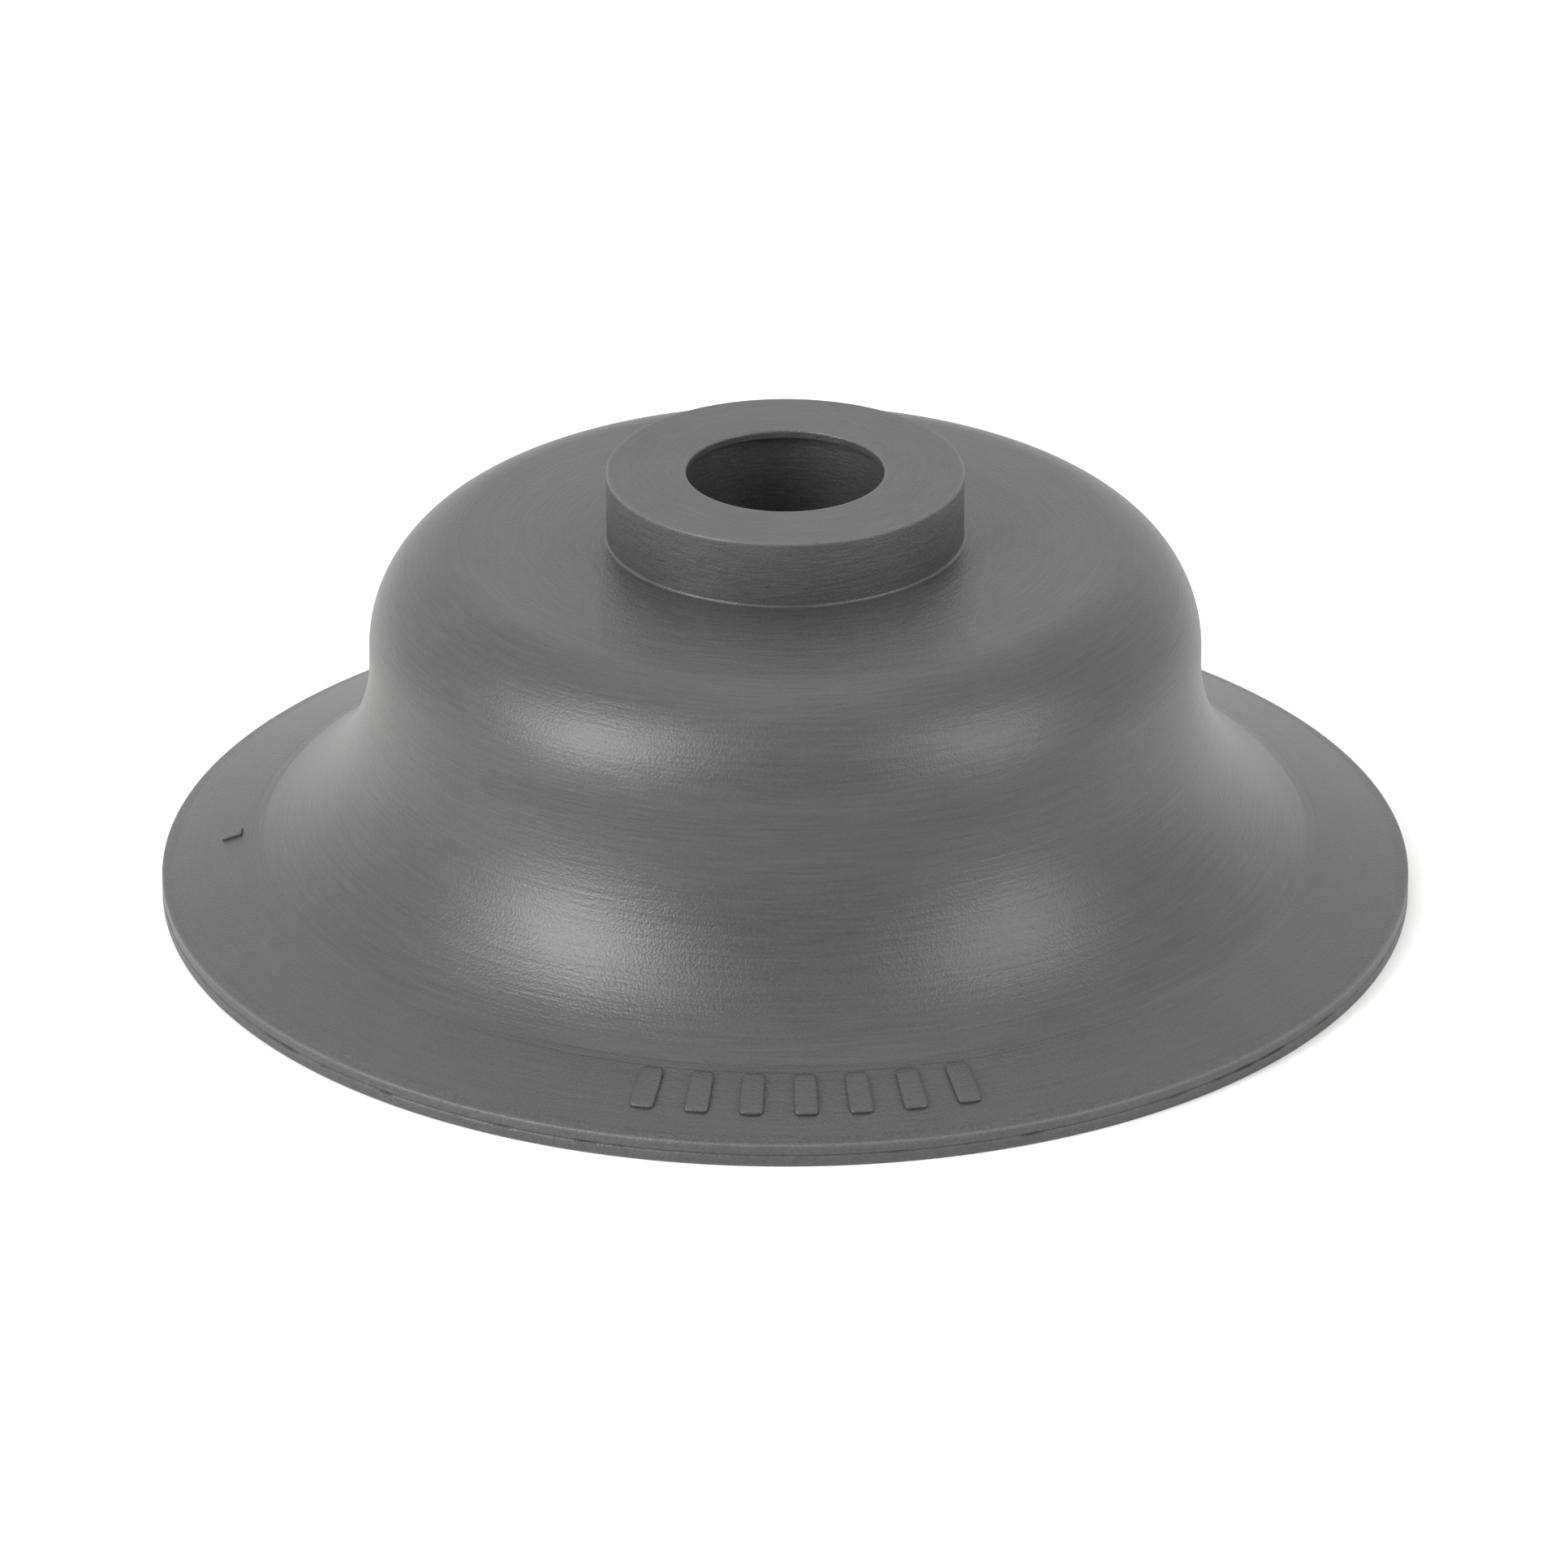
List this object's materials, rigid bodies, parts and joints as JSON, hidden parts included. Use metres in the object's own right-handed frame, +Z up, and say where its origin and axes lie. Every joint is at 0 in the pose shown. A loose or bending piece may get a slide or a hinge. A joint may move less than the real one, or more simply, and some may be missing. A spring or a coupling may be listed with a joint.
{
  "type": "vacuum suction cup",
  "caption": "Bell-shaped elastomer suction cup with a conical sealing lip, hollow flare, round shoulder and a bored collar that snaps over a nipple.",
  "frame": {"origin": "centre of the circle on which the sealing edge rests", "axes": "+Z up along the bore axis, out of the collar; the raised bars face -Y"},
  "size_m": [0.06, 0.06, 0.0216],
  "materials": {
    "rubber_edge": "moulded elastomer, trimmed edge, satin",
    "rubber_lip": "moulded elastomer, fine turned tool marks, matte",
    "rubber_bell": "moulded elastomer, fine turned tool marks, satin",
    "rubber_collar": "moulded elastomer, flat turned face, matte",
    "rubber_inside": "moulded elastomer inside the bore, matte"
  },
  "bodies": {
    "edge": {"sealing_edge": "rubber_edge", "lip_cone": "rubber_lip", "lip_bars": "rubber_lip", "lip_tick": "rubber_lip"},
    "lip_root": {"lip_root_ring": "rubber_lip", "lower_flare": "rubber_bell"},
    "flare": {"flare_ring": "rubber_bell", "upper_flare": "rubber_bell"},
    "waist": {"waist_ring": "rubber_bell", "waist_wall": "rubber_bell"},
    "bell": {"shoulder": "rubber_bell", "crown": "rubber_bell", "collar_foot_bead": "rubber_bell", "collar": "rubber_collar", "mouth_land": "rubber_collar", "neck_root": "rubber_inside", "inner_land": "rubber_inside"}
  },
  "joints": [
    {"name": "lip_flatten", "type": "slide", "parent": "edge", "child": "lip_root", "axis": [0, 0, -1], "range_m": [0, 0.0006], "stiffness_N_per_m": 3000, "deforming": ["lip_cone", "lip_bars", "lip_tick"]},
    {"name": "skirt_stroke", "type": "slide", "parent": "lip_root", "child": "flare", "axis": [0, 0, -1], "range_m": [0, 0.002], "stiffness_N_per_m": 3000, "deforming": ["lower_flare"]},
    {"name": "tilt_x", "type": "hinge", "parent": "flare", "child": "waist", "pos_m": [0, 0, 0.0092], "axis": [1, 0, 0], "range_deg": [-3, 3], "stiffness_Nm_per_rad": 0.5, "deforming": ["upper_flare"]},
    {"name": "tilt_y", "type": "hinge", "parent": "waist", "child": "bell", "pos_m": [0, 0, 0.0126], "axis": [0, 1, 0], "range_deg": [-3, 3], "stiffness_Nm_per_rad": 0.5, "deforming": ["waist_wall"]}
  ],
  "couplings": [
    {"joint": "lip_flatten", "follows": "skirt_stroke", "ratio": 0.3}
  ]
}
